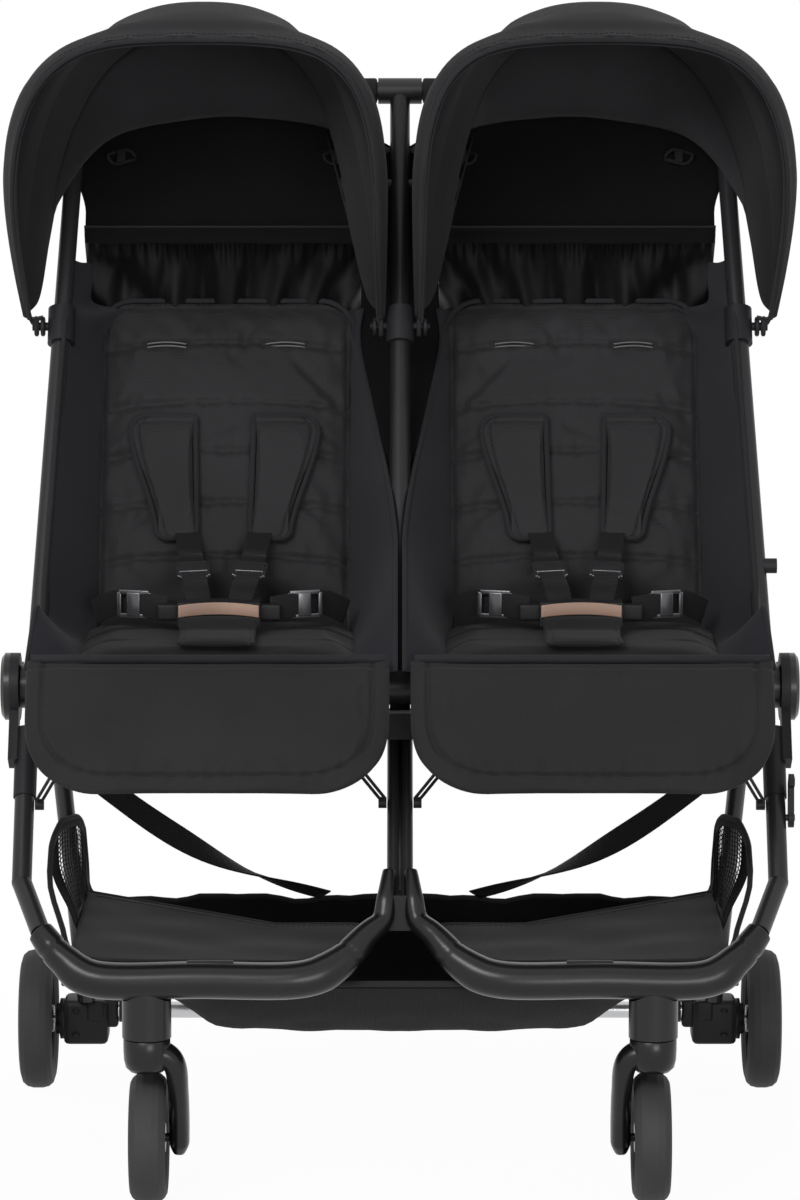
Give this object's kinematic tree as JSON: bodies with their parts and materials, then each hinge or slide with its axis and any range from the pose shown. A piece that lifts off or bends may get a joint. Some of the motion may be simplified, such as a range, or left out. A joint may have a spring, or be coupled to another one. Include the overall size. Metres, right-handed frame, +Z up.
{
  "type": "side by side double stroller",
  "caption": "Folding side by side double stroller with hooded reclining seats, calf rests, swivel front wheels, a wide push bar and a sling basket.",
  "frame": {"origin": "middle of the overall box, on the floor under the wheels", "axes": "+X to the right seen from the front, +Y from the front wheels to the push bar, +Z up"},
  "size_m": [0.745, 0.577, 1.0641],
  "materials": {
    "satin_tube": "satin black powder coat",
    "gloss_black": "smooth glossy black moulding",
    "matt_black": "fine matt black moulding",
    "pin_steel": "plain steel",
    "tyre_rubber": "smooth black foam rubber",
    "grip_foam": "black foam",
    "seat_cloth": "black woven padded cloth",
    "hood_cloth": "black plain weave cloth",
    "basket_cloth": "black coated cloth",
    "webbing": "black woven webbing"
  },
  "bodies": {
    "front_frame": {"hubs": "gloss_black", "hub_caps": "gloss_black", "hub_pins": "pin_steel", "front_legs": "satin_tube", "center_legs": "satin_tube", "footrests": "gloss_black", "center_connector": "matt_black", "caster_housings": "matt_black", "cross_tubes": "satin_tube", "seat_bases": "seat_cloth", "leg_rest_left": "seat_cloth", "leg_rest_right": "seat_cloth", "leg_rest_cords": "webbing", "cord_knobs": "matt_black", "crotch_straps": "seat_cloth", "buckles": "matt_black", "harness_straps": "webbing", "basket": "basket_cloth", "footwell_cloths": "basket_cloth", "basket_straps": "webbing"},
    "handle": {"handle_tubes": "satin_tube", "handle_tube_center": "satin_tube", "handlebar": "satin_tube", "handle_grips": "grip_foam", "canopy_clamps": "matt_black", "canopy_rear_left": "hood_cloth", "canopy_rear_right": "hood_cloth", "back_cloths": "hood_cloth", "side_wings": "seat_cloth", "latch_knob": "matt_black"},
    "rear_frame": {"rear_legs": "satin_tube", "rear_cross_tube": "pin_steel", "axle_brackets": "matt_black", "rear_axles": "pin_steel"},
    "latch": {"latch_hook": "matt_black"},
    "seat_hinge_left": {"recline_hinge_left": "pin_steel"},
    "back_left": {"backrest_left": "seat_cloth", "shoulder_pads_left": "seat_cloth"},
    "hood_mid_left": {"canopy_mid_left": "hood_cloth"},
    "hood_front_left": {"canopy_front_left": "hood_cloth"},
    "caster_left": {"caster_fork_left": "gloss_black"},
    "front_wheel_left": {"front_tyre_left": "tyre_rubber", "front_rim_left": "gloss_black"},
    "rear_wheel_left": {"rear_tyre_left": "tyre_rubber", "rear_rim_left": "gloss_black"},
    "brake_left": {"brake_pedal_left": "matt_black"},
    "button_left": {"buckle_button_left": "gloss_black"},
    "seat_hinge_right": {"recline_hinge_right": "pin_steel"},
    "back_right": {"backrest_right": "seat_cloth", "shoulder_pads_right": "seat_cloth"},
    "hood_mid_right": {"canopy_mid_right": "hood_cloth"},
    "hood_front_right": {"canopy_front_right": "hood_cloth"},
    "caster_right": {"caster_fork_right": "gloss_black"},
    "front_wheel_right": {"front_tyre_right": "tyre_rubber", "front_rim_right": "gloss_black"},
    "rear_wheel_right": {"rear_tyre_right": "tyre_rubber", "rear_rim_right": "gloss_black"},
    "brake_right": {"brake_pedal_right": "matt_black"},
    "button_right": {"buckle_button_right": "gloss_black"}
  },
  "joints": [
    {"name": "frame_fold", "type": "hinge", "parent": "front_frame", "child": "handle", "pos_m": [0, -0.0695, 0.445], "axis": [1, 0, 0], "range_deg": [0, 150], "deforming": ["leg_rest_left", "leg_rest_right", "leg_rest_cords", "harness_straps", "basket", "basket_straps", "back_cloths", "side_wings"]},
    {"name": "rear_fold", "type": "hinge", "parent": "front_frame", "child": "rear_frame", "pos_m": [0, -0.0695, 0.445], "axis": [1, 0, 0], "range_deg": [-51, 0]},
    {"name": "latch_turn", "type": "hinge", "parent": "front_frame", "child": "latch", "pos_m": [0.3555, -0.14365, 0.3358], "axis": [1, 0, 0], "range_deg": [0, 25], "stiffness_Nm_per_rad": 0.05},
    {"name": "back_swing_left", "type": "hinge", "parent": "front_frame", "child": "seat_hinge_left", "pos_m": [-0.18, 0.066, 0.486], "axis": [1, 0, 0], "range_deg": [0, 80]},
    {"name": "recline_left", "type": "hinge", "parent": "seat_hinge_left", "child": "back_left", "pos_m": [-0.18, 0.066, 0.486], "axis": [1, 0, 0], "range_deg": [-40, 0]},
    {"name": "hood_left", "type": "hinge", "parent": "handle", "child": "hood_front_left", "pos_m": [-0.181, 0.113, 0.7611], "axis": [1, 0, 0], "range_deg": [-38, 0]},
    {"name": "hood_middle_left", "type": "hinge", "parent": "handle", "child": "hood_mid_left", "pos_m": [-0.181, 0.113, 0.7611], "axis": [1, 0, 0], "range_deg": [-19, 0]},
    {"name": "swivel_left", "type": "hinge", "parent": "front_frame", "child": "caster_left", "pos_m": [-0.226, -0.2575, 0.158], "axis": [0, 0, 1], "continuous": true},
    {"name": "front_spin_left", "type": "hinge", "parent": "caster_left", "child": "front_wheel_left", "pos_m": [-0.226, -0.2295, 0.059], "axis": [1, 0, 0], "continuous": true},
    {"name": "rear_spin_left", "type": "hinge", "parent": "rear_frame", "child": "rear_wheel_left", "pos_m": [-0.356, 0.2205, 0.068], "axis": [1, 0, 0], "continuous": true},
    {"name": "brake_press_left", "type": "hinge", "parent": "rear_frame", "child": "brake_left", "pos_m": [-0.266, 0.2145, 0.078], "axis": [1, 0, 0], "range_deg": [-18, 0]},
    {"name": "button_press_left", "type": "slide", "parent": "front_frame", "child": "button_left", "axis": [0, 1, 0], "range_m": [0, 0.003], "stiffness_N_per_m": 300},
    {"name": "back_swing_right", "type": "hinge", "parent": "front_frame", "child": "seat_hinge_right", "pos_m": [0.18, 0.066, 0.486], "axis": [1, 0, 0], "range_deg": [0, 80]},
    {"name": "recline_right", "type": "hinge", "parent": "seat_hinge_right", "child": "back_right", "pos_m": [0.18, 0.066, 0.486], "axis": [1, 0, 0], "range_deg": [-40, 0]},
    {"name": "hood_right", "type": "hinge", "parent": "handle", "child": "hood_front_right", "pos_m": [0.181, 0.113, 0.7611], "axis": [1, 0, 0], "range_deg": [-38, 0]},
    {"name": "hood_middle_right", "type": "hinge", "parent": "handle", "child": "hood_mid_right", "pos_m": [0.181, 0.113, 0.7611], "axis": [1, 0, 0], "range_deg": [-19, 0]},
    {"name": "swivel_right", "type": "hinge", "parent": "front_frame", "child": "caster_right", "pos_m": [0.226, -0.2575, 0.158], "axis": [0, 0, 1], "continuous": true},
    {"name": "front_spin_right", "type": "hinge", "parent": "caster_right", "child": "front_wheel_right", "pos_m": [0.226, -0.2295, 0.059], "axis": [1, 0, 0], "continuous": true},
    {"name": "rear_spin_right", "type": "hinge", "parent": "rear_frame", "child": "rear_wheel_right", "pos_m": [0.356, 0.2205, 0.068], "axis": [1, 0, 0], "continuous": true},
    {"name": "brake_press_right", "type": "hinge", "parent": "rear_frame", "child": "brake_right", "pos_m": [0.266, 0.2145, 0.078], "axis": [1, 0, 0], "range_deg": [-18, 0]},
    {"name": "button_press_right", "type": "slide", "parent": "front_frame", "child": "button_right", "axis": [0, 1, 0], "range_m": [0, 0.003], "stiffness_N_per_m": 300}
  ],
  "couplings": [
    {"joint": "rear_fold", "follows": "frame_fold", "ratio": -0.34},
    {"joint": "back_swing_left", "follows": "frame_fold", "ratio": 0.5333},
    {"joint": "hood_middle_left", "follows": "hood_left", "ratio": 0.5},
    {"joint": "back_swing_right", "follows": "frame_fold", "ratio": 0.5333},
    {"joint": "hood_middle_right", "follows": "hood_right", "ratio": 0.5}
  ]
}
